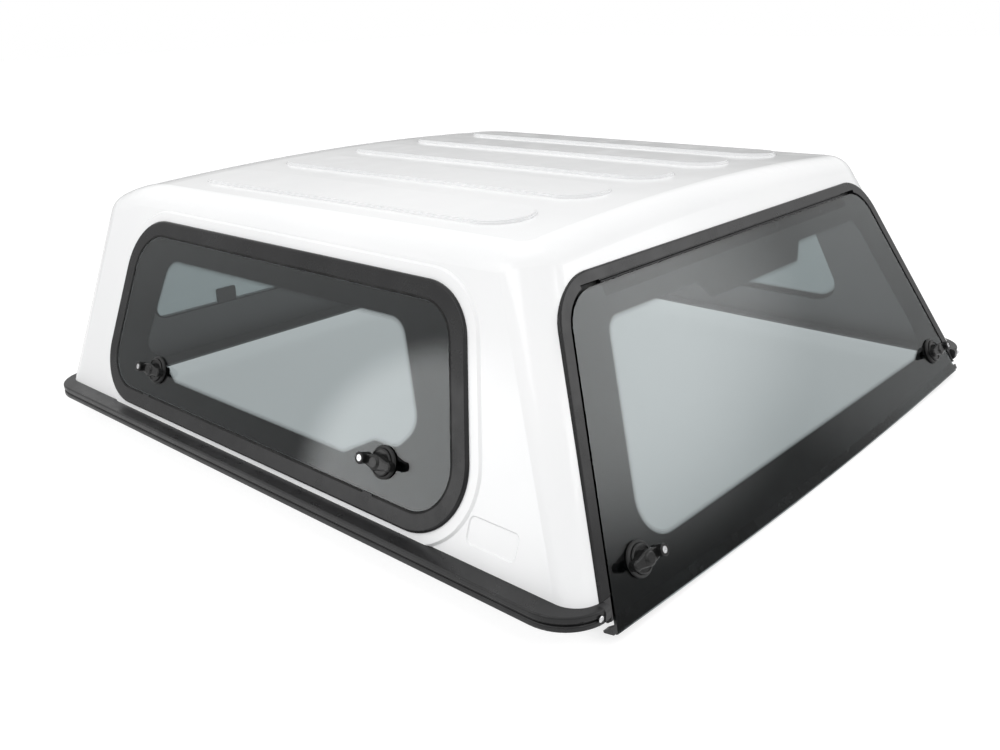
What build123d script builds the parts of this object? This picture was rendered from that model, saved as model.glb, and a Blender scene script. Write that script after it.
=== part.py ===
from build123d import *
from math import atan, atan2, cos, degrees, hypot, radians, sin, sqrt
import os

# Pickup truck canopy. +X is the vehicle's right, +Y is forward, +Z is up.
# The origin is the centre of the plane that the canopy stands on, the underside of its base.
# Millimetres throughout. The left side is modelled and the right side is its mirror image,
# but for the side windows: the left pane lifts up and has two locks, the right pane is fixed.

# Overall form
rail_length = 1640.0
rail_half_width = 824.5
rail_height = 27.0
rail_depth = 28.6
rail_depth_front = 15.0
roof_height = 527.0
side_lean = 0.3678
rear_lean = 0.50
front_lean = 0.04
wall = 5.0
corner_radius_base = 48.0
corner_radius_top = 82.0
roof_edge_radius = 66.0
crown_radius = 8400.0
roof_fall = 0.0105
roof_level_setback = 400.0
nose_setback = 250.0
nose_arch_radius = 470.0
nose_turn = 42.0

# Base flange and rail
flange_width = 80.0
flange_thickness = 5.0
rail_corner_rear = 85.0
rail_corner_front = 90.0
rail_mouth_inset = 76.5
rail_cap_length = 13.0
rail_cap_depth = 24.0
rail_cap_round = 9.0
rail_front_reach = 70.0
rear_overhang = 14.7
bead_height = 11.5
groove_height = 3.5
groove_depth = 3.0
bead_round = 3.5

# Roof ribs
rib_count = 5
rib_width = 135.0
rib_side_margin = 82.5
rib_rear_setback = 392.0
rib_front_setback = 285.0
rib_height = 6.5
rib_soft = 3.0

# Frames and glass, measured outward from the wall
frame_stand = 10.0
rear_frame_stand = 14.0
rear_recess = 11.0
recess_gap = 0.5
glass_thickness = 5.0
glass_recess = 1.0
edge_gap = 3.0
fit_gap = 0.3

# Side windows, from the two ends of the base and from its underside
side_frame_low = 34.5
side_frame_drop_front = 95.3
side_frame_drop_rear = 90.3
side_front_setback_low = 195.0
side_front_setback_high = 227.0
side_rear_setback_low = 238.0
side_rear_setback_high = 369.0
side_frame_corner = 116.0
side_frame_front_corner = 130.0
side_band = 34.0
side_band_round = 5.0
side_lip = 20.0
surround_margin = 24.0
surround_height = 4.0
surround_taper = 50.0

# Shallow panel recess low on each side, behind the window
panel_rear_setback = 209.0
panel_height = 78.0
panel_length = 112.0
panel_width = 54.0
panel_corner = 14.0
panel_depth = 2.0

# Rear door
rear_frame_inset = 43.9
rear_frame_drop = 68.3
rear_frame_corner = 116.0
rear_band = 24.0
rear_lip = 26.0
door_corner_drop = 20.0
door_middle_drop = 34.0
door_gap = 5.0
hinge_bead_radius = 3.5
hinge_gap = 0.4
hinge_wall = 2.0
hinge_depth = 6.5
hinge_web = 2.4
hinge_leg_length = 22.0
hinge_leg_thickness = 2.0
hinge_end_gap = 113.0
hinge_corner_gap = 56.0
hinge_clearance = 0.5
sill_width = 22.0
sill_depth = 13.0
sill_wall = 3.0
sill_leg_rise = 17.0
sill_end_gap = 4.0
sill_end_length = 10.0
sill_end_height = 12.0
bulb_radius = 6.0
bulb_wall = 2.0
foot_height = 28.0
foot_drop = 2.0
foot_hollow = 4.0

# Front window
front_window_low = 92.0
front_window_drop = 127.0
front_window_inset_low = 226.0
front_window_inset_high = 306.0
front_window_corner = 50.0
front_band = 26.0
front_sleeve = 4.0
front_frame_stand = 5.0
front_pane_overlap = 30.0
front_pane_thickness = 4.0
catch_length = 58.0
catch_height = 38.0
catch_thickness = 8.0
catch_reach = 318.0

# Locks
lock_base_radius = 25.0
lock_base_height = 11.0
lock_stem_radius = 11.0
lock_spindle_radius = 6.0
lock_nut_radius = 17.0
lock_nut_height = 8.0
lock_bar_length = 80.0
lock_bar_width = 18.0
lock_bar_height = 14.0
lock_hub_radius = 14.5
lock_hub_height = 17.0
key_housing_radius = 10.5
key_housing_height = 9.0
key_radius = 5.8
key_slot_length = 7.0
key_slot_width = 1.4
key_slot_depth = 1.6
cam_length = 42.0
cam_width = 16.0
cam_thickness = 3.0
cam_gap = 10.0
side_lock_front_setback = 423.0
side_lock_rear_setback = 470.0
side_lock_height = 127.0
rear_lock_setback = 124.0
rear_lock_height = 48.0

side_angle = degrees(atan(side_lean))
rear_angle = degrees(atan(rear_lean))
front_angle = degrees(atan(front_lean))
half_length = rail_length / 2
wall_half_width = rail_half_width - rail_depth
wall_front = half_length - rail_depth_front
wall_rear = half_length - rear_overhang
side_slope = sqrt(1 + side_lean**2)
rear_slope = sqrt(1 + rear_lean**2)
front_slope = sqrt(1 + front_lean**2)
rear_frame_half_low = wall_half_width - rear_frame_inset
rear_frame_top = roof_height - rear_frame_drop
rail_end_x = rail_half_width - rail_mouth_inset
hinge_half_length = rear_frame_half_low - side_lean * rear_frame_top - hinge_end_gap
hinge_rise = hinge_depth - glass_recess
hinge_sweep_radius = hypot(hinge_rise, hinge_rise) + hinge_clearance
loft_height = roof_height + roof_edge_radius
reach = 2 * (rail_length + rail_half_width)


def side_plane(out=0.0):
    """Plane of the left wall: x runs to the rear, y up the slope, z outward."""
    base = Plane(
        origin=(-wall_half_width, 0, 0),
        x_dir=(0, -1, 0),
        z_dir=(-cos(radians(side_angle)), 0, sin(radians(side_angle))),
    )
    return base.offset(out)


def rear_plane(out=0.0):
    """Floor of the recess that holds the rear frame: x runs right, y up the slope, z outward."""
    base = Plane(
        origin=(0, -wall_rear, 0),
        x_dir=(1, 0, 0),
        z_dir=(0, -cos(radians(rear_angle)), sin(radians(rear_angle))),
    )
    return base.offset(out)


def front_plane(out=0.0):
    """Plane of the front wall: x runs to the left, y up the slope, z outward."""
    base = Plane(
        origin=(0, wall_front, 0),
        x_dir=(-1, 0, 0),
        z_dir=(0, cos(radians(front_angle)), sin(radians(front_angle))),
    )
    return base.offset(out)


def slab(plane, face, low, high):
    """The face, laid on the plane, from offset low to offset high along its normal."""
    return extrude(plane.offset(low) * face, amount=high - low, dir=plane.z_dir)


def mirrored(shape):
    return mirror(shape, about=Plane.YZ)


def box_between(low, high):
    size = [b - a for a, b in zip(low, high)]
    middle = [(a + b) / 2 for a, b in zip(low, high)]
    return Pos(*middle) * Box(*size)


def above(height):
    return box_between((-reach, -reach, height), (reach, reach, reach))


def section(height, inset, radius):
    """Plan outline of the moulding at one height."""
    half = wall_half_width - side_lean * height - inset * side_slope
    rear = -wall_rear + rear_lean * height + (inset - rear_recess) * rear_slope
    front = wall_front - front_lean * height - inset * front_slope
    outline = Pos(0, (front + rear) / 2, height) * RectangleRounded(
        2 * half, front - rear, radius
    )
    return outline


def crown(inset):
    """Everything under the roof surface, crowned across, falling forward and bent down at the nose."""
    top = roof_height - inset
    floor = -2 * rail_height
    level_y = -half_length + roof_level_setback
    rear_y = -half_length - wall_half_width / 4
    nose_y = half_length - nose_setback
    rear = (rear_y, top - roof_fall * (rear_y - level_y))
    ridge = Line(rear, (nose_y, top - roof_fall * (nose_y - level_y)))
    nose = JernArc(ridge @ 1, ridge % 1, nose_arch_radius - inset, -nose_turn)
    end = nose @ 1
    under = Polyline((end.X, end.Y), (end.X, floor), (rear_y, floor), rear)
    profile = Plane.YZ * make_face([ridge, nose, under])
    axis = Axis((0, 0, top - crown_radius), (0, 1, 0))
    half_turn = degrees(atan2(rail_half_width * 1.1, crown_radius))
    return revolve(profile.rotate(axis, -half_turn), axis, 2 * half_turn)


def form(inset):
    """Closed form of the moulding, moved inward by inset."""
    low = -rail_height if inset > 0 else 0.0
    walls = loft(
        [
            section(low, inset, corner_radius_base - inset),
            section(loft_height, inset, corner_radius_top - inset),
        ],
        ruled=True,
    )
    solid = walls & crown(inset)
    roof = [f for f in solid.faces() if f.geom_type in (GeomType.CONE, GeomType.TORUS)]
    rim = []
    for face in roof:
        for edge in face.edges():
            owners = [f for f in roof if any(edge.is_same(other) for other in f.edges())]
            if len(owners) == 1:
                rim.append(edge)
    return fillet(rim, roof_edge_radius - inset)


def side_point(y, z):
    """Place of a point of the left wall in the side plane."""
    return (-y, z / cos(radians(side_angle)))


def rear_point(x, z):
    """Place of a point of the rear frame's face in the rear plane."""
    rise = rear_frame_stand * sin(radians(rear_angle))
    return (x, (z - rise) / cos(radians(rear_angle)))


def side_outline(inset=0.0):
    points = [
        side_point(half_length - side_front_setback_low, side_frame_low),
        side_point(-half_length + side_rear_setback_low, side_frame_low),
        side_point(-half_length + side_rear_setback_high, roof_height - side_frame_drop_rear),
        side_point(half_length - side_front_setback_high, roof_height - side_frame_drop_front),
    ]
    face = make_face(Polyline(*points, close=True))
    front_top = face.vertices().sort_by(Axis.Y)[-2:].sort_by(Axis.X)[0]
    face = fillet(front_top, side_frame_front_corner)
    for x, y in points[:3]:
        corner = face.vertices().sort_by_distance((x, y, 0))[0]
        face = fillet(corner, side_frame_corner)
    return offset(face, amount=-inset) if inset else face


def rear_outline(inset=0.0):
    """Outline of the rear frame, run on below the base so that it stays open there."""
    low = -4 * rail_height
    half_low = rear_frame_half_low - side_lean * low
    half_high = rear_frame_half_low - side_lean * rear_frame_top
    points = [
        rear_point(-half_low, low),
        rear_point(half_low, low),
        rear_point(half_high, rear_frame_top),
        rear_point(-half_high, rear_frame_top),
    ]
    face = make_face(Polyline(*points, close=True))
    top = face.vertices().sort_by(Axis.Y)[-2:]
    face = fillet(top, rear_frame_corner)
    return offset(face, amount=-inset) if inset else face


def front_outline(inset=0.0):
    low = wall_half_width - front_window_inset_low
    high = wall_half_width - front_window_inset_high
    top = roof_height - front_window_drop
    points = [
        (-low, front_window_low),
        (low, front_window_low),
        (high, top),
        (-high, top),
    ]
    face = make_face(Polyline(*points, close=True))
    face = fillet(face.vertices(), front_window_corner)
    return offset(face, amount=-inset) if inset else face


def roof_ribs():
    """Long raised pads with rounded ends and soft edges, joined to the moulding."""
    roof_half = wall_half_width - side_lean * roof_height
    pitch = (roof_half - rib_side_margin - rib_width / 2) / ((rib_count - 1) / 2)
    rear = -half_length + rib_rear_setback
    front = half_length - rib_front_setback
    low = roof_height / 2
    ribs = Part()
    for index in range(rib_count):
        x = (index - (rib_count - 1) / 2) * pitch
        place = Pos(x, (front + rear) / 2, low)
        outline = SlotOverall(front - rear, rib_width, rotation=90)
        rib = place * extrude(outline, roof_height)
        core = place * extrude(offset(outline, amount=-rib_soft), roof_height)
        ribs = ribs + (rib & crown(-rib_height + rib_soft)) + (core & crown(-rib_height))
    return ribs - crown(wall / 2)


def surround():
    """Raised surround of a side window, with sloped edges, clear of the rail."""
    face = side_outline(-surround_margin)
    raised = extrude(side_plane() * face, surround_height, taper=surround_taper)
    root = slab(side_plane(), face, -wall / 2, 0)
    middle = slab(side_plane(), side_outline(side_band / 2), -wall, 2 * surround_height)
    return ((raised + root) & above(rail_height + fit_gap)) - middle


def panel_recess():
    y = -half_length + panel_rear_setback
    x, s = side_point(y, panel_height)
    outline = Pos(x, s) * RectangleRounded(panel_length, panel_width, panel_corner)
    top = side_plane(panel_depth) * outline
    return extrude(top, -2 * panel_depth, taper=surround_taper)


def shell():
    outer = form(0.0)
    inner_half = rail_half_width - flange_width
    opening = box_between(
        (-inner_half, -reach, -1),
        (inner_half, half_length - flange_width, flange_thickness + 1),
    )
    flange = (outer & box_between((-reach, -reach, 0), (reach, reach, flange_thickness))) - opening
    joggle = slab(rear_plane(), rear_outline(-wall), -wall, 2 * rear_recess) & outer
    pocket = slab(rear_plane(), rear_outline(-recess_gap), 0, reach / 10)
    rear_hole = rear_outline(rear_band + door_gap + rear_lip)
    front_hole = front_outline(front_band - front_sleeve)
    side_hole = slab(side_plane(), side_outline(side_band + side_lip), -8 * wall, 8 * wall)
    body = outer - form(wall) + roof_ribs() + flange + joggle - pocket
    body = body - slab(rear_plane(), rear_hole, -12 * wall, 12 * wall)
    body = body - slab(front_plane(), front_hole, -8 * wall, 8 * wall)
    body = body + surround() + mirrored(surround())
    body = body - [panel_recess(), mirrored(panel_recess())]
    body = body - [side_hole, mirrored(side_hole)]
    return body


def rail_outline(inset):
    half = rail_half_width - inset
    length = half_length - inset
    points = [(-half, -length), (half, -length), (half, length), (-half, length)]
    face = make_face(Polyline(*points, close=True))
    corners = face.vertices().sort_by(Axis.Y)
    face = fillet(corners[:2], rail_corner_rear)
    corners = face.vertices().sort_by(Axis.Y)
    return fillet(corners[-2:], rail_corner_front)


def bead(low, high):
    """One rounded bead of the rail, all the way round."""
    solid = Pos(0, 0, low) * extrude(rail_outline(0.0), high - low)
    groups = solid.edges().group_by(Axis.Z)
    return fillet(groups[0] + groups[-1], bead_round)


def rail(outer):
    """Base rail with two rounded beads and a groove between them, open at the rear."""
    top_start = bead_height + groove_height
    groove = extrude(rail_outline(groove_depth), rail_height - bead_round)
    groove = groove & above(bead_round)
    solid = bead(0, bead_height) + groove + bead(top_start, rail_height) - outer
    mouth = box_between(
        (-rail_end_x, -reach, -1), (rail_end_x, -half_length / 2, rail_height + 1)
    )
    return solid - mouth


def ring(outline, band, low, high, outer_round, inner_round):
    """Band around a window in its own plane, with its two face edges rounded."""
    solid = Pos(0, 0, low) * extrude(outline(0.0) - outline(band), high - low)
    face = solid.faces().sort_by(Axis.Z)[-1]
    if outer_round:
        solid = fillet(face.outer_wire().edges(), outer_round)
        face = solid.faces().sort_by(Axis.Z)[-1]
    if inner_round:
        solid = fillet(face.inner_wires()[0].edges(), inner_round)
    return solid


def lock_base():
    """Round escutcheon with a raised rim, threaded stem and inner nut, with the spindle's bore."""
    nut_low = -glass_thickness - lock_nut_height
    rim_width = 3.0
    disc = extrude(Circle(lock_base_radius), lock_base_height)
    disc = fillet(disc.edges().sort_by(Axis.Z)[-1], 3.0)
    hollow = Pos(0, 0, lock_base_height - 1.2) * extrude(
        Circle(lock_base_radius - rim_width) - Circle(lock_hub_radius + 1), 5
    )
    stem = extrude(Pos(0, 0, nut_low) * Circle(lock_stem_radius), -nut_low)
    nut = extrude(Pos(0, 0, nut_low) * RegularPolygon(lock_nut_radius, 6), lock_nut_height)
    bore = extrude(Pos(0, 0, nut_low - 1) * Circle(lock_spindle_radius + fit_gap), 60)
    return disc + stem + nut - bore - hollow


def lock_handle():
    """T-bar on a domed hub with a key housing at one end, its spindle and the cam behind the glass."""
    low = lock_base_height + fit_gap
    key_x = lock_bar_length / 2 - key_housing_radius
    far_x = lock_bar_length / 2 - lock_bar_width / 2
    waist = lock_bar_width / 2 - 1.5
    arms = make_face(
        Polyline((-far_x, waist), (0, lock_hub_radius), (key_x, waist), (key_x, -waist),
                 (0, -lock_hub_radius), (-far_x, -waist), close=True)
    )
    outline = arms + Pos(-far_x, 0) * Circle(lock_bar_width / 2) + Circle(lock_hub_radius)
    outline = outline + Pos(key_x, 0) * Circle(key_housing_radius)
    bar = Pos(0, 0, low) * extrude(outline, lock_bar_height)
    bar = fillet(bar.edges().group_by(Axis.Z)[-1], 3.0)
    hub = Pos(0, 0, low) * extrude(Circle(lock_hub_radius), lock_hub_height)
    hub = fillet(hub.edges().sort_by(Axis.Z)[-1], 6.0)
    housing_top = low + lock_bar_height + key_housing_height
    housing = extrude(Pos(key_x, 0, low) * Circle(key_housing_radius), housing_top - low)
    housing = fillet(housing.edges().sort_by(Axis.Z)[-1], 1.5)
    cam_high = -glass_thickness - lock_nut_height - cam_gap
    cam_low = cam_high - cam_thickness
    spindle = extrude(Pos(0, 0, cam_low) * Circle(lock_spindle_radius), low - cam_low + 1)
    cam_middle = -(cam_length - cam_width / 2) / 2
    cam = Pos(0, cam_middle, cam_low) * SlotOverall(cam_length + cam_width / 2, cam_width, rotation=90)
    key_bore = Pos(key_x, 0, housing_top - key_housing_height) * Circle(key_radius + fit_gap)
    solid = bar + hub + housing + spindle + extrude(cam, cam_thickness)
    return solid - extrude(key_bore, key_housing_height + 1)


def lock_key():
    """Bright key plug with its slot, seated in the housing."""
    low = lock_base_height + fit_gap + lock_bar_height
    key_x = lock_bar_length / 2 - key_housing_radius
    height = key_housing_height - 0.6
    plug = extrude(Pos(key_x, 0, low) * Circle(key_radius), height)
    slot = Pos(key_x, 0, low + height) * Box(key_slot_length, key_slot_width, 2 * key_slot_depth)
    return plug - slot


def lock_places():
    """Every lock on the left side and the rear by name, with the frame it is built in."""
    side_face = frame_stand - glass_recess
    rear_face = rear_frame_stand - glass_recess
    setbacks = {
        "front": half_length - side_lock_front_setback,
        "rear": -half_length + side_lock_rear_setback,
    }
    places = {}
    for name, y in setbacks.items():
        x, s = side_point(y, side_lock_height)
        places["side_lock_left_" + name] = side_plane(side_face).location * Pos(x, s, 0)
    for name, sign in (("left", -1), ("right", 1)):
        x, s = rear_point(sign * (rear_frame_half_low - rear_lock_setback), rear_lock_height)
        places["rear_lock_" + name] = rear_plane(rear_face).location * Pos(x, s, 0)
    return places


def glass_pane(plane, face, stand):
    high = stand - glass_recess
    return slab(plane, face, high - glass_thickness, high)


def door_outline():
    """Glass of the rear door, with its bowed bottom edge below the base."""
    face = rear_outline(rear_band + door_gap)
    half = rear_frame_half_low + 2 * rail_depth
    left = rear_point(-half, -door_corner_drop)
    middle = rear_point(0, -door_middle_drop)
    right = rear_point(half, -door_corner_drop)
    arc = ThreePointArc(left, middle, right)
    skirt = Polyline(right, (right[0], -reach), (left[0], -reach), left)
    return face - make_face([arc, skirt])


def hinge_section(x):
    """Plane across the rear hinge's axis: x runs up the slope, y outward."""
    slope = rear_point(0, rear_frame_top)[1] - rear_band - door_gap / 2
    origin = rear_plane(rear_frame_stand - hinge_depth).from_local_coords((x, slope, 0))
    up_slope = (0, sin(radians(rear_angle)), cos(radians(rear_angle)))
    return Plane(origin=origin, x_dir=up_slope, z_dir=(1, 0, 0))


def hinge_round(radius, half_length):
    return extrude(hinge_section(-half_length) * Circle(radius), 2 * half_length)


def hinge_bead():
    """Round bead on a web, which the frame's top bar carries along its lower edge."""
    length = hinge_sweep_radius + hinge_web
    web = Pos(length / 2, 0, 0) * Rectangle(length, hinge_web)
    face = Circle(hinge_bead_radius) + web
    return extrude(hinge_section(-hinge_half_length) * face, 2 * hinge_half_length)


def hinge_channel():
    """Open socket that turns on the bead, with the leg that holds the glass."""
    inner = hinge_bead_radius + hinge_gap
    outer = inner + hinge_wall
    glass_low = hinge_depth - glass_recess - glass_thickness
    leg = Pos(-inner - hinge_leg_length / 2, glass_low - hinge_leg_thickness / 2, 0) * Rectangle(
        hinge_leg_length, hinge_leg_thickness
    )
    slot = make_face(
        Polyline((0, -4.0), (20, -4.0), (20, 20), (-5.0, 20), (0, 0), close=True)
    )
    face = Circle(outer) + leg - Circle(inner) - slot
    return extrude(hinge_section(-hinge_half_length) * face, 2 * hinge_half_length)


def hinge_sweep():
    """Round space that the glass turns in, up to where the frame's corners begin."""
    return hinge_round(hinge_sweep_radius, hinge_half_length + hinge_end_gap - hinge_corner_gap)


def rear_frame():
    band = ring(rear_outline, rear_band, 0, rear_frame_stand, 3.0, 1.0)
    band = rear_plane().location * band
    band = (band & above(foot_height)) - hinge_sweep()
    return band + hinge_bead()


def door_half_width():
    """Half width of the glass at the height of the base."""
    leg_slope = sqrt(1 + (side_lean / rear_slope) ** 2)
    return rear_frame_half_low - (rear_band + door_gap) * leg_slope


def bottom_curve(rise):
    """Curve that follows the bottom edge of the glass, raised up the slope."""
    half = door_half_width() - sill_end_gap
    points = [
        rear_point(-half, -door_corner_drop),
        rear_point(0, -door_middle_drop),
        rear_point(half, -door_corner_drop),
    ]
    return ThreePointArc(*[(x, y + rise) for x, y in points])


def bowed_strip(low, high, near, far):
    """Strip between two such curves, from offset near to offset far."""
    bottom = bottom_curve(low)
    top = bottom_curve(high)
    edges = [bottom, Line(bottom @ 1, top @ 1), top, Line(top @ 0, bottom @ 0)]
    return slab(rear_plane(), make_face(edges), near, far)


def door_sill():
    """L-shaped extrusion along the bottom of the glass, on its inner face."""
    glass_low = rear_frame_stand - glass_recess - glass_thickness
    leg_low = sill_leg_rise - sill_wall / 2
    plate = bowed_strip(1.0, sill_width, glass_low - sill_wall, glass_low)
    leg = bowed_strip(leg_low, leg_low + sill_wall, glass_low - sill_depth, glass_low - 0.5)
    return plate + leg


def bulb_seal():
    """Round hollow seal along the inner edge of the sill."""
    center = rear_frame_stand - glass_recess - glass_thickness - sill_depth - bulb_radius
    path = rear_plane(center) * bottom_curve(sill_leg_rise)
    profile = Circle(bulb_radius) - Circle(bulb_radius - bulb_wall)
    plane = Plane(origin=path @ 0, z_dir=path % 0)
    return sweep(plane * profile, path)


def sill_end(door):
    """Three-cornered end piece that holds the left lower corner of the glass."""
    face_high = rear_frame_stand - glass_recess
    half = door_half_width() + side_lean * door_corner_drop
    low = rear_point(0, -door_corner_drop)[1]
    section_plane = Plane(
        origin=rear_plane().from_local_coords((-half - sill_end_length, 0, 0)),
        x_dir=(0, sin(radians(rear_angle)), cos(radians(rear_angle))),
        z_dir=(1, 0, 0),
    )
    tip = face_high - sill_depth - glass_thickness
    outline = Polyline(
        (low, face_high), (low + sill_end_height, face_high), (low + sill_end_height - 3, tip),
        (low + sill_end_height - 7, tip), close=True
    )
    return extrude(section_plane * make_face(outline), sill_end_length + sill_end_gap) - door


def foot():
    """Gusset between the left leg of the rear frame and the end of the rail."""
    top = foot_height - fit_gap
    bottom = -foot_drop
    inner_top = rear_frame_half_low - side_lean * top - rear_band
    inner_low = rear_frame_half_low - side_lean * bottom - rear_band
    outer_x = rail_end_x - rail_cap_length - fit_gap
    middle_x = (outer_x + inner_low) / 2 - foot_hollow
    points = [rear_point(-x, z) for x, z in (
        (outer_x, top), (inner_top, top), (inner_low, bottom), (outer_x, bottom)
    )]
    hollow = rear_point(-middle_x, (top + bottom) / 2)
    edges = [Line(points[0], points[1]), Line(points[1], points[2]), Line(points[2], points[3])]
    edges.append(ThreePointArc(points[3], hollow, points[0]))
    return slab(rear_plane(), make_face(edges), 0, rear_frame_stand)


def front_panes():
    """Two sliding panes of the front window that overlap in the middle."""
    opening = front_outline(front_band)
    half = front_pane_overlap / 2
    outer_high = -1.0
    outer_low = outer_high - front_pane_thickness
    inner_high = outer_low - 1.0
    inner_low = inner_high - front_pane_thickness
    left_part = Pos(reach / 2 - half, 0) * Rectangle(reach, reach)
    right_part = Pos(-reach / 2 + half, 0) * Rectangle(reach, reach)
    left_pane = slab(front_plane(), opening & left_part, outer_low, outer_high)
    right_pane = slab(front_plane(), opening & right_part, inner_low, inner_high)
    return left_pane, right_pane, outer_low, inner_low


def front_frame(depth):
    flat = front_outline(0.0) - front_outline(front_band)
    sleeve = front_outline(front_band - front_sleeve + fit_gap) - front_outline(front_band)
    flange = slab(front_plane(), flat, 0, front_frame_stand)
    return flange + slab(front_plane(), sleeve, depth - 2.0, 0.1)


def front_catch(pane_low):
    """Small catch that stands on the lower edge of the left pane, inside."""
    s = front_window_low + front_band + catch_height / 2
    plate = Pos(catch_reach, s) * RectangleRounded(catch_length, catch_height, 4.0)
    return slab(front_plane(), plate, pane_low - catch_thickness, pane_low)


def build():
    nodes = {}
    nodes["shell"] = shell()
    outer = form(0.0)
    raised = outer + surround() + mirrored(surround())
    whole_rail = rail(outer)
    split_y = wall_front - rail_front_reach
    left_half = box_between((-reach, -reach, -10), (0, split_y, reach))
    right_half = box_between((0, -reach, -10), (reach, split_y, reach))
    nodes["rail_left"] = whole_rail & left_half
    nodes["rail_right"] = whole_rail & right_half
    nodes["rail_front"] = whole_rail & box_between((-reach, split_y, -10), (reach, reach, reach))
    cap_low = (-rail_end_x, -half_length - 2, 0)
    cap_high = (-rail_end_x + rail_cap_length, -half_length + rail_cap_depth, rail_height)
    cap = fillet(box_between(cap_low, cap_high).edges().filter_by(Axis.X), rail_cap_round) - outer
    nodes["rail_cap_left"] = cap
    nodes["rail_cap_right"] = mirrored(cap)

    frame = ring(side_outline, side_band, -wall, frame_stand, side_band_round, 1.5)
    frame = side_plane().location * frame - raised
    pane = glass_pane(side_plane(), side_outline(side_band + edge_gap), frame_stand)
    seal_face = side_outline(side_band + edge_gap + 3) - side_outline(side_band + side_lip - 3)
    seal_high = frame_stand - glass_recess - glass_thickness - fit_gap
    seal = slab(side_plane(), seal_face, 0, seal_high)

    fixed_pane = mirrored(pane)
    door = glass_pane(rear_plane(), door_outline(), rear_frame_stand)
    socket = hinge_bead_radius + hinge_gap + hinge_wall
    door = door - hinge_round(socket, 2 * hinge_half_length)
    for name, place in lock_places().items():
        hole = place * Cylinder(lock_stem_radius + fit_gap, 8 * glass_thickness)
        if name.startswith("side"):
            pane = pane - hole
        else:
            door = door - hole
    nodes["side_glass_left"] = pane
    nodes["side_glass_right"] = fixed_pane
    for name, solid in (("frame", frame), ("seal", seal)):
        nodes["side_%s_left" % name] = solid
        nodes["side_%s_right" % name] = mirrored(solid)

    nodes["rear_frame"] = rear_frame()
    seal_face = rear_outline(rear_band + door_gap + 4) - rear_outline(rear_band + door_gap + 18)
    seal_high = rear_frame_stand - glass_recess - glass_thickness - fit_gap
    seal = slab(rear_plane(), seal_face, 0, seal_high) & above(rail_height + 1)
    nodes["rear_seal"] = seal - hinge_round(hinge_leg_length + 12, hinge_half_length + 3)
    nodes["rear_frame_foot_left"] = foot()
    nodes["rear_frame_foot_right"] = mirrored(foot())
    nodes["rear_glass"] = door
    nodes["rear_hinge_channel"] = hinge_channel()
    nodes["rear_sill"] = door_sill()
    nodes["rear_sill_end_left"] = sill_end(door)
    nodes["rear_sill_end_right"] = mirrored(nodes["rear_sill_end_left"])
    nodes["rear_bulb_seal"] = bulb_seal()

    for name, place in lock_places().items():
        kinds = {"base": lock_base(), "handle": lock_handle(), "key": lock_key()}
        for kind, solid in kinds.items():
            if name.startswith("side"):
                nodes[name + "_" + kind] = place * solid.mirror(Plane.YZ)
            else:
                nodes[name + "_" + kind] = place * solid

    left_pane, right_pane, outer_low, inner_low = front_panes()
    nodes["front_window_frame"] = front_frame(inner_low)
    nodes["front_window_glass_left"] = left_pane
    nodes["front_window_glass_right"] = right_pane
    nodes["front_window_catch"] = front_catch(outer_low)
    return nodes


def moved_to_origin(nodes):
    """Set the origin at the middle of the bottom of the whole canopy's box."""
    boxes = [solid.bounding_box() for solid in nodes.values()]
    rear = min(box.min.Y for box in boxes)
    front = max(box.max.Y for box in boxes)
    bottom = min(box.min.Z for box in boxes)
    shift = Pos(0, -(front + rear) / 2, -bottom)
    return {node: shift * solid for node, solid in nodes.items()}


def main():
    os.makedirs("parts", exist_ok=True)
    for node, solid in moved_to_origin(build()).items():
        export_step(solid, "parts/%s.step" % node)


main()
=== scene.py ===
from math import cos, pi, radians, sin, tan

import bmesh
import bpy
from mathutils import Matrix, Vector
from mathutils.geometry import tessellate_polygon


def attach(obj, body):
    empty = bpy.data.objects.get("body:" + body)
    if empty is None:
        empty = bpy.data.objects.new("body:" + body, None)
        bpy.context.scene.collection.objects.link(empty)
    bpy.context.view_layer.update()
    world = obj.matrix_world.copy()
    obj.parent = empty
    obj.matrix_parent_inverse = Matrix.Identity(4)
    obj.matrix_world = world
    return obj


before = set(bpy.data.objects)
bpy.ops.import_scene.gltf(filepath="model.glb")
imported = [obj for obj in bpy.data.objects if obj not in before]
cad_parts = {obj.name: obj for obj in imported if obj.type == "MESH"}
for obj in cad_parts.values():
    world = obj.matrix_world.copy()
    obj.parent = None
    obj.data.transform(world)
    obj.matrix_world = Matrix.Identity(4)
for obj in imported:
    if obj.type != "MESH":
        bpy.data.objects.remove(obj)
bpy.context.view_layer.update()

# Pickup truck canopy. Metres, +X the vehicle's right, +Y forward, +Z up.

# Where the flat faces of the moulding lie, as in the part's source, in millimetres.
base_shift_y = 8.529024
base_shift_z = 37.130495
side_foot_x = 795.9
side_cos = 0.938532
side_sin = 0.345192
rear_foot_y = -805.3
rear_cos = 0.894427
rear_sin = 0.447214
glass_inner_side = 4.0
glass_inner_rear = 8.0
glass_outer_side = 9.0
glass_outer_rear = 13.0

# The roof's upper face falls forward by a rate, and to each side by x * x / roof_arch in metres. The
# lining's material takes what is above roof_level as the ribs.
roof_fall = 0.0105
roof_arch = 16.8
roof_height = 527.0
fall_at_middle = 4.3
rib_root_depth = 3.5
roof_level = (roof_height + base_shift_z - rib_root_depth - fall_at_middle) * 0.001
load_space_middle = (0.0, 0.0, 0.2)


def side_point(sign, y, s, n):
    """A point on a side wall: y along the vehicle, s up the wall and n outward from it."""
    x = -side_foot_x + s * side_sin - n * side_cos
    z = s * side_cos + n * side_sin
    return Vector((x * sign, y + base_shift_y, z + base_shift_z)) * 0.001


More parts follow.
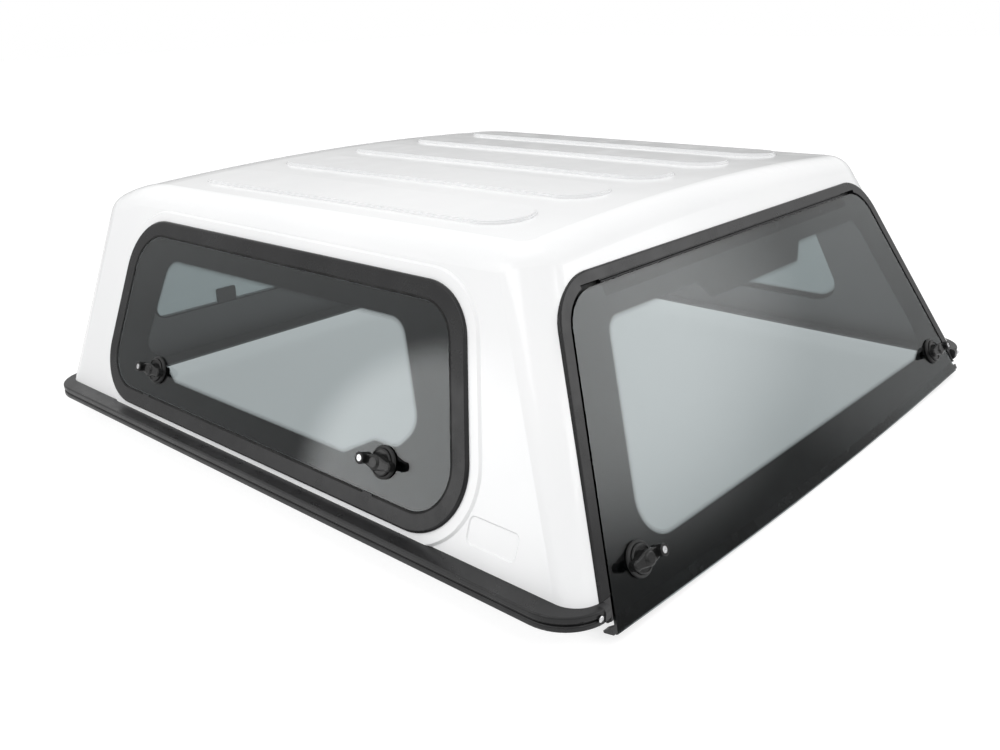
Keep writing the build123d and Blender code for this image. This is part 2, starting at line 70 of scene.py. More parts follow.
def rear_point(x, s, n):
    """A point on the rear opening's plane: x across, s up the plane and n outward from it."""
    y = rear_foot_y + s * rear_sin - n * rear_cos
    z = s * rear_cos + n * rear_sin
    return Vector((x, y + base_shift_y, z + base_shift_z)) * 0.001


def wall_place(sign):
    """side_point for one of the two sides."""
    def place(y, s, n):
        return side_point(sign, y, s, n)
    return place


# ---------------------------------------------------------------- camera

def camera():
    """The photograph's own viewpoint, from the lines of the two windows and the rail."""
    place = Vector((-1.777486, -1.552536, 0.915450))
    yaw = 0.8303
    pitch = 0.3602
    roll = 0.0262
    focal_pixels = 993.142
    picture_width = 1000.0
    sensor_width = 36.0
    forward = Vector((sin(yaw) * cos(pitch), cos(yaw) * cos(pitch), -sin(pitch)))
    level = Vector((cos(yaw), -sin(yaw), 0.0))
    down = forward.cross(level)
    across = cos(roll) * level + sin(roll) * down
    fall = -sin(roll) * level + cos(roll) * down
    data = bpy.data.cameras.new("camera")
    data.sensor_fit = "HORIZONTAL"
    data.sensor_width = sensor_width
    data.lens = focal_pixels / picture_width * sensor_width
    data.clip_start = 0.05
    data.clip_end = 60.0
    cam = bpy.data.objects.new("camera", data)
    turn = Matrix((across, -fall, -forward)).transposed().to_4x4()
    cam.matrix_world = Matrix.Translation(place) @ turn
    bpy.context.scene.collection.objects.link(cam)
    bpy.context.scene.camera = cam


# ---------------------------------------------------------------- material helpers

def new_material(name):
    material = bpy.data.materials.new(name)
    material.use_nodes = True
    nodes = material.node_tree.nodes
    links = material.node_tree.links
    return material, nodes, links, nodes["Principled BSDF"]


def object_place(nodes):
    return nodes.new("ShaderNodeTexCoord")


def noise(nodes, links, place, scale, detail=3.0, roughness=0.5):
    node = nodes.new("ShaderNodeTexNoise")
    node.inputs["Scale"].default_value = scale
    node.inputs["Detail"].default_value = detail
    node.inputs["Roughness"].default_value = roughness
    links.new(place.outputs["Object"], node.inputs["Vector"])
    return node.outputs["Fac"]


def put(links, socket, value):
    """Links a socket, or gives it a constant."""
    if isinstance(value, bpy.types.NodeSocket):
        links.new(value, socket)
    else:
        socket.default_value = value


def ranged(nodes, links, value, low, high, source_low=0.3, source_high=0.7):
    node = nodes.new("ShaderNodeMapRange")
    node.inputs["From Min"].default_value = source_low
    node.inputs["From Max"].default_value = source_high
    node.inputs["To Min"].default_value = low
    node.inputs["To Max"].default_value = high
    links.new(value, node.inputs["Value"])
    return node.outputs["Result"]


def mixed(nodes, links, factor, first, second):
    """A colour between two, by a factor. Each is a colour or a socket."""
    node = nodes.new("ShaderNodeMix")
    node.data_type = "RGBA"
    links.new(factor, node.inputs["Factor"])
    for socket, value in ((node.inputs[6], first), (node.inputs[7], second)):
        put(links, socket, value if isinstance(value, bpy.types.NodeSocket) else (*value, 1.0))
    return node.outputs[2]


def two_tone(nodes, links, value, first, second):
    """A colour that drifts between two with a noise."""
    return mixed(nodes, links, ranged(nodes, links, value, 0.0, 1.0), first, second)


def mixed_value(nodes, links, factor, first, second):
    node = nodes.new("ShaderNodeMix")
    node.data_type = "FLOAT"
    links.new(factor, node.inputs["Factor"])
    put(links, node.inputs[2], first)
    put(links, node.inputs[3], second)
    return node.outputs[0]


def bump(nodes, links, principled, height, strength, distance):
    node = nodes.new("ShaderNodeBump")
    node.inputs["Strength"].default_value = strength
    node.inputs["Distance"].default_value = distance
    links.new(height, node.inputs["Height"])
    links.new(node.outputs["Normal"], principled.inputs["Normal"])


def vector_math(nodes, links, operation, first, second):
    node = nodes.new("ShaderNodeVectorMath")
    node.operation = operation
    links.new(first, node.inputs[0])
    put(links, node.inputs[1], second)
    return node.outputs["Value" if operation == "DOT_PRODUCT" else "Vector"]


def plain_math(nodes, links, operation, first, second):
    node = nodes.new("ShaderNodeMath")
    node.operation = operation
    put(links, node.inputs[0], first)
    put(links, node.inputs[1], second)
    return node.outputs["Value"]


# ---------------------------------------------------------------- materials

def facing_out(nodes, links, place):
    """1 on the moulding's outer faces and the ribs, 0 on the faces that look into the load space."""
    away = vector_math(nodes, links, "SUBTRACT", place.outputs["Object"], load_space_middle)
    facing = vector_math(nodes, links, "DOT_PRODUCT", away, place.outputs["Normal"])
    outward = plain_math(nodes, links, "GREATER_THAN", facing, 0.0)
    split = nodes.new("ShaderNodeSeparateXYZ")
    links.new(place.outputs["Object"], split.inputs["Vector"])
    arch = plain_math(nodes, links, "MULTIPLY", split.outputs["X"], split.outputs["X"])
    arch = plain_math(nodes, links, "MULTIPLY", arch, 1.0 / roof_arch)
    fall = plain_math(nodes, links, "MULTIPLY", split.outputs["Y"], roof_fall)
    level = plain_math(nodes, links, "ADD", split.outputs["Z"], arch)
    level = plain_math(nodes, links, "ADD", level, fall)
    on_top = plain_math(nodes, links, "GREATER_THAN", level, roof_level)
    return plain_math(nodes, links, "MAXIMUM", outward, on_top)


def shell_material():
    """Gloss white moulding, with a flocked dark grey lining on the faces that look inward."""
    material, nodes, links, principled = new_material("gloss_white_moulding")
    place = object_place(nodes)
    outside = facing_out(nodes, links, place)
    cloud = noise(nodes, links, place, 2.2, 2.0)
    white = two_tone(nodes, links, cloud, (0.86, 0.865, 0.87), (0.90, 0.902, 0.905))
    fibre = noise(nodes, links, place, 420.0, 2.0, 0.6)
    lining = two_tone(nodes, links, fibre, (0.155, 0.155, 0.160), (0.185, 0.185, 0.190))
    links.new(mixed(nodes, links, outside, lining, white), principled.inputs["Base Color"])
    haze = ranged(nodes, links, noise(nodes, links, place, 14.0, 3.0), 0.10, 0.17)
    links.new(mixed_value(nodes, links, outside, 0.85, haze), principled.inputs["Roughness"])
    pile = ranged(nodes, links, fibre, 0.0, 0.3, 0.0, 1.0)
    peel = ranged(nodes, links, noise(nodes, links, place, 260.0, 2.0), 0.0, 0.10, 0.0, 1.0)
    bump(nodes, links, principled, mixed_value(nodes, links, outside, pile, peel), 0.2, 0.0002)
    return material


# Each black finish: colour, roughness, scale and depth of its grain, strength of the bump, and gloss.
black_finishes = {
    "rail_rubber": ((0.008, 0.008, 0.0085), 0.30, 420.0, 0.0001, 0.12, 0.38),
    # Real seals and collars, and also the painted shade under the rear gap.
    "seal_rubber": ((0.010, 0.010, 0.010), 0.60, 700.0, 0.0003, 0.50, 0.50),
    # Near-black and matte: painted shade for the gap between a side frame and its pane.
    "painted_gap_shade": ((0.002, 0.002, 0.002), 0.80, 700.0, 0.0001, 0.20, 0.50),
    "black_plastic": ((0.014, 0.014, 0.015), 0.42, 1500.0, 0.0003, 0.50, 0.50),
    "black_metal": ((0.007, 0.007, 0.0075), 0.24, 650.0, 0.00005, 0.08, 0.32),
    "lock_black": ((0.005, 0.005, 0.005), 0.22, 1200.0, 0.0001, 0.15, 0.35),
}


def black_material(name, color, roughness, grain_scale, grain_depth, strength, gloss):
    """Black rubber, plastic or powder coat, and the painted shade in the side and rear gaps: a grain
    of its own, with worn and dusty patches.
    """
    material, nodes, links, principled = new_material(name)
    place = object_place(nodes)
    cloud = noise(nodes, links, place, 9.0, 4.0, 0.6)
    lighter = tuple(c * 1.7 + 0.004 for c in color)
    links.new(two_tone(nodes, links, cloud, color, lighter), principled.inputs["Base Color"])
    wear = noise(nodes, links, place, 30.0, 3.0)
    rough = ranged(nodes, links, wear, roughness * 0.85, roughness * 1.2)
    links.new(rough, principled.inputs["Roughness"])
    grain = noise(nodes, links, place, grain_scale, 3.0, 0.6)
    bump(nodes, links, principled, grain, strength, grain_depth)
    principled.inputs["Specular IOR Level"].default_value = gloss
    return material


def glass_material():
    """Grey tinted safety glass: a very slight waviness and faint wiping marks."""
    material, nodes, links, principled = new_material("tinted_glass")
    place = object_place(nodes)
    principled.inputs["Base Color"].default_value = (0.415, 0.462, 0.470, 1.0)
    principled.inputs["Transmission Weight"].default_value = 1.0
    principled.inputs["IOR"].default_value = 1.45
    smear = noise(nodes, links, place, 5.0, 4.0, 0.65)
    links.new(ranged(nodes, links, smear, 0.0, 0.004, 0.45, 0.8), principled.inputs["Roughness"])
    bump(nodes, links, principled, noise(nodes, links, place, 3.0, 1.0), 0.02, 0.0004)
    return material


def print_material():
    """The black ceramic border fired on the inner face of the glass. The same black also serves as
    painted shade on the panes' cut edges.
    """
    material, nodes, links, principled = new_material("print_and_edge_shade")
    place = object_place(nodes)
    grain = noise(nodes, links, place, 1400.0, 2.0)
    tone = two_tone(nodes, links, grain, (0.006, 0.006, 0.0065), (0.011, 0.011, 0.0115))
    links.new(tone, principled.inputs["Base Color"])
    wear = noise(nodes, links, place, 40.0, 3.0)
    links.new(ranged(nodes, links, wear, 0.45, 0.6), principled.inputs["Roughness"])
    principled.inputs["Specular IOR Level"].default_value = 0.12
    bump(nodes, links, principled, grain, 0.1, 0.00005)
    return material


def steel_material():
    """Bright lock steel with fine turning marks."""
    material, nodes, links, principled = new_material("key_steel")
    place = object_place(nodes)
    grain = noise(nodes, links, place, 1800.0, 2.0)
    tone = two_tone(nodes, links, grain, (0.66, 0.66, 0.67), (0.82, 0.82, 0.83))
    links.new(tone, principled.inputs["Base Color"])
    principled.inputs["Metallic"].default_value = 1.0
    links.new(ranged(nodes, links, grain, 0.16, 0.3), principled.inputs["Roughness"])
    bump(nodes, links, principled, grain, 0.2, 0.0001)
    return material


def all_materials():
    made = {"shell": shell_material()}
    for name, finish in black_finishes.items():
        made[name] = black_material(name, *finish)
    made["tinted_glass"] = glass_material()
    made["print_and_edge_shade"] = print_material()
    made["key_steel"] = steel_material()
    return made


# Which CAD nodes have which finish. The locks are told by their names.
slot_nodes = {
    "shell": ["shell"],
    "rail_rubber": ["rail_left", "rail_right", "rail_front"],
    "seal_rubber": ["side_seal_left", "side_seal_right", "rear_seal", "rear_bulb_seal"],
    "black_plastic": ["rail_cap_left", "rail_cap_right", "rear_frame_foot_left",
                      "rear_frame_foot_right", "rear_sill_end_left", "rear_sill_end_right",
                      "front_window_catch"],
    "black_metal": ["side_frame_left", "side_frame_right", "rear_frame", "front_window_frame",
                    "rear_hinge_channel", "rear_sill"],
    "tinted_glass": ["side_glass_left", "side_glass_right", "rear_glass", "front_window_glass_left",
                     "front_window_glass_right"],
}


def dress_frame(materials):
    """Gives every CAD node its finish."""
    choice = {node: slot for slot, names in slot_nodes.items() for node in names}
    for name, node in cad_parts.items():
        slot = choice.get(name)
        if slot is None:
            slot = "key_steel" if name.endswith("_key") else "lock_black"
        node.data.materials.clear()
        node.data.materials.append(materials[slot])


# ---------------------------------------------------------------- mesh helpers

def add_piece(name, vertices, faces, material, body, smooth=False):
    mesh = bpy.data.meshes.new(name)
    mesh.from_pydata([tuple(v) for v in vertices], [], faces)
    build = bmesh.new()
    build.from_mesh(mesh)
    bmesh.ops.recalc_face_normals(build, faces=build.faces)
    build.to_mesh(mesh)
    build.free()
    mesh.materials.append(material)
    piece = bpy.data.objects.new(name, mesh)
    bpy.context.scene.collection.objects.link(piece)
    for face in mesh.polygons:
        face.use_smooth = smooth
    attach(piece, body)
    return piece


def rounded(corners, steps=10):
    """A closed outline through corners given as (a, b, radius), each rounded by its own arc."""
    nearly_straight = pi - 0.02
    most_of_half = 0.48
    outline = []
    count = len(corners)
    for i in range(count):
        before = Vector(corners[i - 1][:2])
        here = Vector(corners[i][:2])
        after = Vector(corners[(i + 1) % count][:2])
        radius = corners[i][2]
        back = (before - here).normalized()
        on = (after - here).normalized()
        angle = back.angle(on)
        if radius <= 0.0 or angle > nearly_straight:
            outline.append(here)
            continue
        reach = radius / tan(angle / 2.0)
        reach = min(reach, most_of_half * (before - here).length, most_of_half * (after - here).length)
        radius = reach * tan(angle / 2.0)
        middle = here + (back + on).normalized() * (radius / sin(angle / 2.0))
        start = here + back * reach - middle
        finish = here + on * reach - middle
        turn = start.angle_signed(finish)
        for k in range(steps + 1):
            a = -turn * k / steps
            c, s = cos(a), sin(a)
            outline.append(middle + Vector((start.x * c - start.y * s, start.x * s + start.y * c)))
    return outline


def hull(points):
    """The convex outline of flat points, in order."""
    ordered = sorted(set((round(p[0], 3), round(p[1], 3)) for p in points))

    def half(line):
        out = []
        for p in line:
            while len(out) > 1 and ((out[-1][0] - out[-2][0]) * (p[1] - out[-2][1])
                                    - (out[-1][1] - out[-2][1]) * (p[0] - out[-2][0])) <= 0:
                out.pop()
            out.append(p)
        return out[:-1]

    return [Vector(p) for p in half(ordered) + half(ordered[::-1])]


def winding(outline):
    """1 for an outline that runs counter-clockwise, otherwise -1."""
    area = sum(a.x * b.y - b.x * a.y for a, b in zip(outline, outline[1:] + outline[:1]))
    return 1.0 if area > 0 else -1.0


def drawn_in(outline, inset):
    """An outline moved inward by a margin, square to the line between each point's two neighbours."""
    side = winding(outline)
    out = []
    for i, here in enumerate(outline):
        along = (outline[(i + 1) % len(outline)] - outline[i - 1]).normalized()
        out.append(here + Vector((-along.y, along.x)) * inset * side)
    return out


def shifted(outline, out):
    """An outline moved outward by a margin."""
    return drawn_in(outline, -out)


def plate(outer, holes, to_world, low, high):
    """Vertices and faces of a flat plate between two heights, with holes through it."""
    loops = [outer] + holes
    flat = [p for loop in loops for p in loop]
    triangles = tessellate_polygon([[Vector((p.x, p.y, 0.0)) for p in loop] for loop in loops])
    vertices = [to_world(p.x, p.y, low) for p in flat] + [to_world(p.x, p.y, high) for p in flat]
    count = len(flat)
    faces = [tuple(t) for t in triangles] + [tuple(i + count for i in reversed(t)) for t in triangles]
    first = 0
    for loop in loops:
        for i in range(len(loop)):
            j = (i + 1) % len(loop)
            faces.append((first + i, first + j, first + j + count, first + i + count))
        first += len(loop)
    return vertices, faces


# ---------------------------------------------------------------- printed borders, and painted shade at the panes' edges and gaps

# The clear part of a side glass, (y, height on the wall) in millimetres and the radius of each corner.
side_clear = [(434.0, 357.0, 40.0), (-322.0, 364.5, 50.0), (-413.0, 202.0, 60.0),
              (-372.0, 157.0, 36.0), (-313.0, 156.0, 18.0), (-240.0, 116.0, 10.0),
              (330.0, 116.5, 10.0), (402.0, 157.0, 18.0), (470.0, 160.0, 36.0)]
# The clear part of the rear glass, (x, height) and radius: its upper edge is lower in the middle.
rear_clear_left = [(-610.0, 49.5, 62.0), (-487.0, 379.0, 38.0), (-206.0, 379.0, 16.0),
                   (-171.0, 345.0, 18.0)]
# The fixed right pane has a narrower border.
fixed_clear = [(537.0, 362.0, 60.0), (-422.0, 362.0, 55.0), (-508.0, 99.0, 55.0), (558.0, 99.0, 60.0)]
# The print lies this far under the glass's inner face, and this far in from the pane's edge.
print_low = 0.35
print_high = 0.15
print_inset = 1.0
# The rows of dots along the clear part.
dot_pitch = 3.0
dot_rows = 2.7
dot_start = 1.3
dot_radii = (1.15, 0.85, 0.55)
dot_corners = 6
# The dark rim of a pane, painted shade on its cut edge: how far it stands off the edge, and how far
# under the outer face it ends.
rim_near = 0.05
rim_far = 0.35
rim_drop = 0.05
rear_rim_depth = 1.5
# The black strip under the rear gap, painted shade over the moulding's white lip there. It starts at a
# height and lies across the glass's edge.
gap_shade_low = 45.0
gap_shade_out = 12.0
gap_shade_in = 4.0
gap_shade_bottom = 0.05
gap_shade_top = 0.45
# The near-black strip between a side frame and its pane, painted shade of the gap there, and its two
# breaks along the bottom.
gap_near = 0.4
gap_line = 4.6
gap_depth = 0.4
gap_rise = 1.12
gap_pitch = 4.0
gap_break = 14.0
gap_break_below = 120.0
gap_break_places = (-327.0, 427.5)
gap_tab_rise = 1.15


def up_the_wall(z, n):
    return (z - n * side_sin) / side_cos


def up_the_rear(z, n):
    return (z - n * rear_sin) / rear_cos


def glass_outline(node, axis, foot, lean_sin, lean_cos):
    """The edge of a pane, read from its own mesh, in the flat coordinates of its wall."""
    flat = []
    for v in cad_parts[node].data.vertices:
        co = v.co * 1000.0
        z = co.z - base_shift_z
        if axis == "y":
            flat.append((co.y - base_shift_y, (abs(co.x) - foot) * -lean_sin + z * lean_cos))
        else:
            flat.append((co.x, (co.y - base_shift_y - foot) * lean_sin + z * lean_cos))
    return hull(flat)


def side_outline(word):
    return glass_outline("side_glass_" + word, "y", side_foot_x, side_sin, side_cos)


def rear_outline():
    return glass_outline("rear_glass", "x", rear_foot_y, rear_sin, rear_cos)


def side_border(sign, word, opening, materials):
    """The printed border of a side pane, with its dots and the dark rim of the glass, which is painted
    shade on its cut edge.
    """
    edge = side_outline(word)
    clear = rounded([(y, up_the_wall(z, glass_inner_side), r) for y, z, r in opening])
    to_world = wall_place(sign)
    low = glass_inner_side - print_low
    high = glass_inner_side - print_high
    vertices, faces = plate(drawn_in(edge, print_inset), [clear], to_world, low, high)
    add_piece("side_border_" + word, vertices, faces, materials["print_and_edge_shade"], "canopy")
    border_dots("side_dots_" + word, clear, to_world, low, high, materials, "canopy")
    # Painted shade: a black band on the pane's cut edge.
    edge_band("side_edge_" + word, edge, to_world, glass_inner_side, glass_outer_side - rim_drop,
              materials, "canopy")


def rear_border(materials):
    """The printed border of the rear door's glass, with its dots."""
    left = [(x, up_the_rear(z, glass_inner_rear), r) for x, z, r in rear_clear_left]
    right = [(-x, s, r) for x, s, r in reversed(left)]
    clear = rounded(left + right)
    low = glass_inner_rear - print_low
    high = glass_inner_rear - print_high
    vertices, faces = plate(drawn_in(rear_outline(), print_inset), [clear], rear_point, low, high)
    add_piece("rear_border", vertices, faces, materials["print_and_edge_shade"], "rear_door")
    border_dots("rear_dots", clear, rear_point, low, high, materials, "rear_door")


def edge_band(name, edge, to_world, low, high, materials, body):
    """A thin black band round the rim of a pane, painted shade which keeps its cut edge dark."""
    vertices, faces = plate(shifted(edge, rim_far), [shifted(edge, rim_near)], to_world, low, high)
    add_piece(name, vertices, faces, materials["print_and_edge_shade"], body)


def spaced(outline, pitch):
    """Points at even steps along a closed outline, each with the direction to its inside."""
    side = winding(outline)
    out = []
    left = 0.0
    for i, here in enumerate(outline):
        on = outline[(i + 1) % len(outline)]
        length = (on - here).length
        if length < 1e-6:
            continue
        along = (on - here) / length
        place = left
        while place < length:
            out.append((here + along * place, Vector((-along.y, along.x)) * side))
            place += pitch
        left = place - length
    return out


def border_dots(name, clear, to_world, low, high, materials, body):
    """Three rows of dots, smaller and smaller, in which a printed border fades out."""
    vertices = []
    faces = []
    ring = range(dot_corners)
    for row, radius in enumerate(dot_radii):
        inside = dot_start + row * dot_rows
        for at, inward in spaced(clear, dot_pitch):
            middle = at + inward * inside
            first = len(vertices)
            for n in (low, high):
                for k in ring:
                    a = 2.0 * pi * k / dot_corners
                    x, y = middle.x + radius * cos(a), middle.y + radius * sin(a)
                    vertices.append(to_world(x, y, n))
            over = first + dot_corners
            faces.append(tuple(first + k for k in ring))
            faces.append(tuple(over + k for k in reversed(ring)))
            for k in ring:
                j = (k + 1) % dot_corners
                faces.append((first + k, first + j, over + j, over + k))
    add_piece(name, vertices, faces, materials["print_and_edge_shade"], body)


def open_strip(name, edge, runs, out_near, out_far, to_world, low, high, material, body):
    """Straight-sided strips along parts of an outline, from one offset of it to another."""
    near = shifted(edge, out_near)
    far = shifted(edge, out_far)
    vertices = []
    faces = []
    for order in runs:
        first = len(vertices)
        for i in order:
            for flat in (far[i], near[i]):
                vertices.append(to_world(flat.x, flat.y, low))
                vertices.append(to_world(flat.x, flat.y, high))
        for k in range(len(order) - 1):
            a = first + 4 * k
            b = a + 4
            faces += [(a, b, b + 1, a + 1), (a + 2, a + 3, b + 3, b + 2),
                      (a + 1, b + 1, b + 3, a + 3), (a, a + 2, b + 2, b)]
        last = first + 4 * (len(order) - 1)
        faces += [(first, first + 1, first + 3, first + 2), (last, last + 2, last + 3, last + 1)]
    add_piece(name, vertices, faces, material, body)


def runs_where(edge, kept):
    """The unbroken runs of an outline's points that pass a test."""
    count = len(edge)
    flags = [kept(p) for p in edge]
    if all(flags):
        return [list(range(count)) + [0]]
    start = next(i for i in range(count) if not flags[i])
    runs = []
    run = []
    for k in range(count + 1):
        i = (start + k) % count
        if flags[i]:
            run.append(i)
        else:
            if len(run) > 1:
                runs.append(run)
            run = []
    return runs


def divided(edge, pitch):
    """The same outline with points no further apart than a pitch."""
    out = []
    for i, here in enumerate(edge):
        on = edge[(i + 1) % len(edge)]
        steps = max(1, int((on - here).length / pitch))
        out += [here + (on - here) * (k / steps) for k in range(steps)]
    return out


def rear_trim(materials):
    """A black strip on the moulding's lip under the rear gap, painted shade of the gap, and the dark
    rim of the rear glass, painted shade on its cut edge.
    """
    edge = rear_outline()
    upper = runs_where(edge, lambda p: p.y > gap_shade_low)
    # Painted shade: a black strip over the moulding's white lip in the rear gap.
    open_strip("rear_gap_shade", edge, upper, -gap_shade_in, gap_shade_out, rear_point,
               gap_shade_bottom, gap_shade_top, materials["seal_rubber"], "canopy")
    # Painted shade: a black band on the rear glass's cut edge.
    open_strip("rear_edge", edge, upper, rim_near, rim_far, rear_point,
               glass_outer_rear - rear_rim_depth, glass_outer_rear - rim_drop,
               materials["print_and_edge_shade"], "rear_door")


def side_gap(sign, word, materials):
    """A near-black strip between a side frame and its pane, painted shade of the gap over the frame's
    lit inner edge, and the frame's tabs in its two breaks.
    """
    edge = divided(side_outline(word), gap_pitch)

    def in_break(p):
        return p.y <= gap_break_below and any(abs(p.x - y) <= gap_break for y in gap_break_places)

    lines = runs_where(edge, lambda p: not in_break(p))
    tabs = runs_where(edge, in_break)
    to_world = wall_place(sign)
    low = glass_outer_side - gap_depth
    # Painted shade: a near-black strip over the gap between frame and pane.
    open_strip("side_gap_" + word, edge, lines, gap_near, gap_line, to_world,
               low, glass_outer_side + gap_rise, materials["painted_gap_shade"], "canopy")
    open_strip("side_gap_tabs_" + word, edge, tabs, gap_near, gap_line, to_world,
               low, glass_outer_side + gap_tab_rise, materials["black_metal"], "canopy")


# ---------------------------------------------------------------- turned pieces

def lathe(name, profile, centre, axis, material, body, steps=64):
    """A closed profile of (radius, height) in millimetres turned round an axis."""
    crease = 0.6
    same_place = 1e-6
    no_length = 1e-7
    axis = Vector(axis).normalized()
    first = axis.orthogonal().normalized()
    second = axis.cross(first)
    centre = Vector(centre)
    vertices = []
    for k in range(steps):
        a = 2.0 * pi * k / steps
        spoke = first * cos(a) + second * sin(a)
        vertices += [centre + (spoke * r + axis * h) * 0.001 for r, h in profile]
    count = len(profile)
    faces = []
    for k in range(steps):
        j = (k + 1) % steps
        for i in range(count):
            m = (i + 1) % count
            if profile[i][0] == 0.0 and profile[m][0] == 0.0:
                continue
            faces.append((k * count + i, j * count + i, j * count + m, k * count + m))
    piece = add_piece(name, vertices, faces, material, body, smooth=True)
    tidy = bmesh.new()
    tidy.from_mesh(piece.data)
    bmesh.ops.remove_doubles(tidy, verts=tidy.verts, dist=same_place)
    bmesh.ops.dissolve_degenerate(tidy, dist=no_length, edges=tidy.edges)
    for edge in tidy.edges:
        if len(edge.link_faces) == 2 and edge.calc_face_angle() > crease:
            edge.smooth = False
    tidy.to_mesh(piece.data)
    tidy.free()
    return piece


# The rubber collar round each lock's escutcheon, (radius, height above the glass) in millimetres.
collar_profile = [(25.2, 0.05), (29.4, 0.05), (30.2, 0.9), (30.2, 3.6), (29.6, 5.0), (28.2, 6.2),
                  (26.6, 6.8), (25.6, 6.6), (25.2, 6.0)]
# The screw head at each end of the rail, the same way.
screw_profile = [(0.0, 0.1), (5.4, 0.1), (5.6, 0.8), (5.1, 1.7), (3.9, 2.4), (2.9, 2.6), (2.5, 1.5),
                 (0.0, 1.5)]
# Where the locks turn: along the wall or across the rear, and up the glass, in millimetres.
side_lock_places = {"front": 397.0, "rear": -350.0}
side_lock_up = 135.32
rear_lock_places = {"left": -628.0, "right": 628.0}
rear_lock_up = 46.66
# The screw in the face of each rail end: across, along and up, in metres.
rail_screw_x = 0.7575
rail_screw_y = -0.8110
rail_screw_z = 0.0515


def lock_collars(materials):
    """A rubber collar round the escutcheon of each lock."""
    side_axis = (-side_cos, 0.0, side_sin)
    for word, y in side_lock_places.items():
        centre = side_point(1.0, y, side_lock_up, glass_outer_side)
        lathe("side_lock_collar_" + word, collar_profile, centre, side_axis,
              materials["seal_rubber"], "canopy")
    rear_axis = (0.0, -rear_cos, rear_sin)
    for word, x in rear_lock_places.items():
        centre = rear_point(x, rear_lock_up, glass_outer_rear)
        lathe("rear_lock_collar_" + word, collar_profile, centre, rear_axis,
              materials["seal_rubber"], "rear_door")


def rail_screws(materials):
    """A bright screw in each end of the rail."""
    for word, sign in (("left", -1.0), ("right", 1.0)):
        centre = (sign * rail_screw_x, rail_screw_y, rail_screw_z)
        lathe("rail_screw_" + word, screw_profile, centre, (0.0, -1.0, 0.0),
              materials["key_steel"], "canopy", 32)


# ---------------------------------------------------------------- stage

# The floor, in metres.
floor_level = -0.001
floor_reach = 20.0
# Brightness of the studio from the horizon (0) to overhead (1).
studio_levels = ((0.0, 0.18), (0.08, 0.24), (0.25, 0.66), (0.40, 0.98), (1.0, 0.98))
# Its soft bright patches: direction, the angles in degrees where each ends and is full, and strength.
studio_glows = (
    ((-0.58, 0.81, 0.06), 24.0, 8.0, 0.30),
    ((-0.765, 0.64, 0.055), 9.0, 6.5, 2.6),
    ((0.74, -0.61, 0.27), 14.0, 3.0, 2.2),
    ((0.92, -0.38, 0.10), 12.0, 5.0, 0.4),
)


def floor():
    """A plain floor that glows. The object sees it darker than the camera, so forms stay clear."""
    material, nodes, links, principled = new_material("pale_floor")
    place = object_place(nodes)
    seen = nodes.new("ShaderNodeLightPath")
    cloud = noise(nodes, links, place, 1.5, 2.0)
    pale = two_tone(nodes, links, cloud, (0.40, 0.40, 0.40), (0.43, 0.43, 0.43))
    links.new(mixed(nodes, links, seen.outputs["Is Camera Ray"], (0.15, 0.15, 0.15), pale),
              principled.inputs["Base Color"])
    principled.inputs["Roughness"].default_value = 0.9
    principled.inputs["Specular IOR Level"].default_value = 0.1
    principled.inputs["Emission Color"].default_value = (1.0, 1.0, 1.0, 1.0)
    links.new(mixed_value(nodes, links, seen.outputs["Is Camera Ray"], 0.80, 0.72),
              principled.inputs["Emission Strength"])
    mesh = bpy.data.meshes.new("floor")
    corners = ((-1, -1), (1, -1), (1, 1), (-1, 1))
    mesh.from_pydata([(x * floor_reach, y * floor_reach, floor_level) for x, y in corners], [],
                     [(0, 1, 2, 3)])
    mesh.materials.append(material)
    piece = bpy.data.objects.new("floor", mesh)
    bpy.context.scene.collection.objects.link(piece)


def glow(nodes, links, place, total, direction, wide, narrow, strength):
    """Adds a soft bright patch to the studio, towards one direction."""
    aim = Vector(direction).normalized()
    near = vector_math(nodes, links, "DOT_PRODUCT", place.outputs["Generated"], tuple(aim))
    fade = nodes.new("ShaderNodeMapRange")
    fade.interpolation_type = "SMOOTHSTEP"
    fade.inputs["From Min"].default_value = cos(radians(wide))
    fade.inputs["From Max"].default_value = cos(radians(narrow))
    fade.inputs["To Max"].default_value = strength
    links.new(near, fade.inputs["Value"])
    return plain_math(nodes, links, "ADD", total, fade.outputs["Result"])


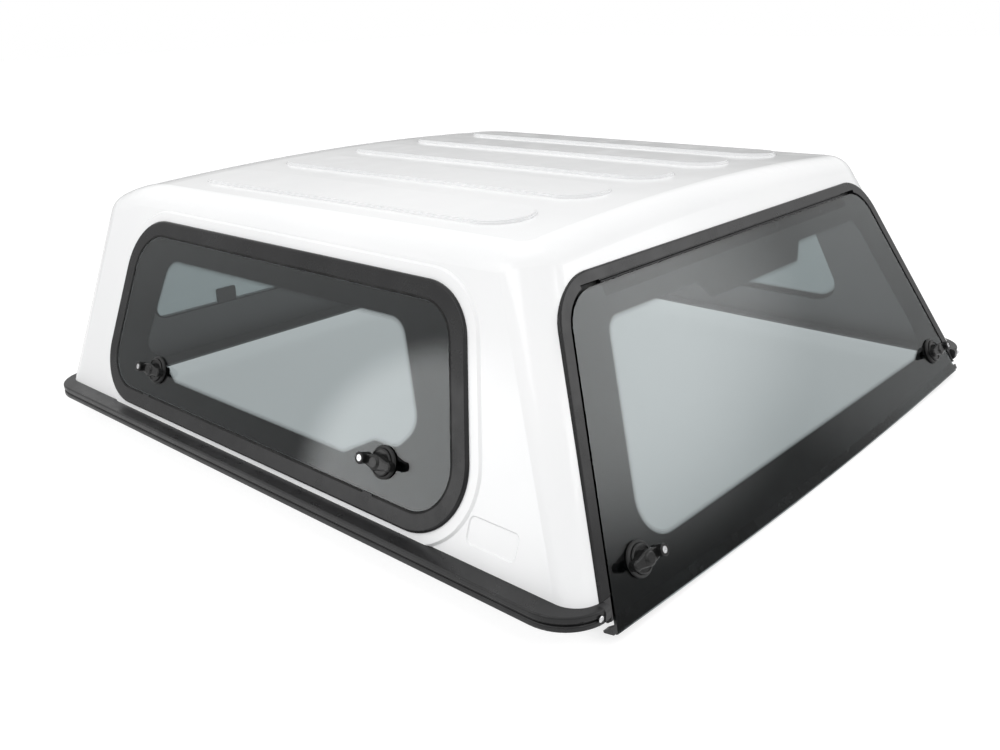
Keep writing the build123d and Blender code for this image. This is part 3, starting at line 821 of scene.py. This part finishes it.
def sky():
    """A studio, bright overhead and darker at the horizon. The camera itself sees plain white."""
    world = bpy.data.worlds.new("studio")
    bpy.context.scene.world = world
    world.use_nodes = True
    nodes = world.node_tree.nodes
    links = world.node_tree.links
    nodes.clear()
    place = nodes.new("ShaderNodeTexCoord")
    split = nodes.new("ShaderNodeSeparateXYZ")
    links.new(place.outputs["Generated"], split.inputs["Vector"])
    ramp = nodes.new("ShaderNodeValToRGB")
    while len(ramp.color_ramp.elements) < len(studio_levels):
        ramp.color_ramp.elements.new(0.5)
    for element, (position, level) in zip(ramp.color_ramp.elements, studio_levels):
        element.position = position
        element.color = (level, level, level, 1.0)
    links.new(split.outputs["Z"], ramp.inputs["Fac"])
    total = ramp.outputs["Color"]
    for patch in studio_glows:
        total = glow(nodes, links, place, total, *patch)
    seen = nodes.new("ShaderNodeLightPath")
    shown = mixed_value(nodes, links, seen.outputs["Is Camera Ray"], total, 1.0)
    background = nodes.new("ShaderNodeBackground")
    links.new(shown, background.inputs["Color"])
    out = nodes.new("ShaderNodeOutputWorld")
    links.new(background.outputs["Background"], out.inputs["Surface"])


def softbox(name, place, target, width, height, power):
    data = bpy.data.lights.new(name, "AREA")
    data.shape = "RECTANGLE"
    data.size = width
    data.size_y = height
    data.energy = power
    lamp = bpy.data.objects.new(name, data)
    lamp.location = place
    lamp.rotation_euler = (Vector(target) - Vector(place)).to_track_quat("-Z", "Y").to_euler()
    bpy.context.scene.collection.objects.link(lamp)


def lights():
    softbox("overhead", (0.0, 0.4, 3.6), (0.0, 0.0, 0.3), 2.6, 2.6, 12.0)
    softbox("left_box", (-2.3, 0.2, 1.9), (-0.75, 0.0, 0.3), 2.2, 0.7, 9.0)
    softbox("rear_box", (0.4, -4.0, 2.6), (0.0, -0.6, 0.3), 2.2, 0.8, 14.0)


# ---------------------------------------------------------------- making

materials = all_materials()
camera()
dress_frame(materials)
side_border(1.0, "left", side_clear, materials)
side_border(-1.0, "right", fixed_clear, materials)
rear_border(materials)
rear_trim(materials)
side_gap(1.0, "left", materials)
side_gap(-1.0, "right", materials)
lock_collars(materials)
rail_screws(materials)
floor()
bpy.context.scene.view_settings.view_transform = "Standard"
sky()
lights()
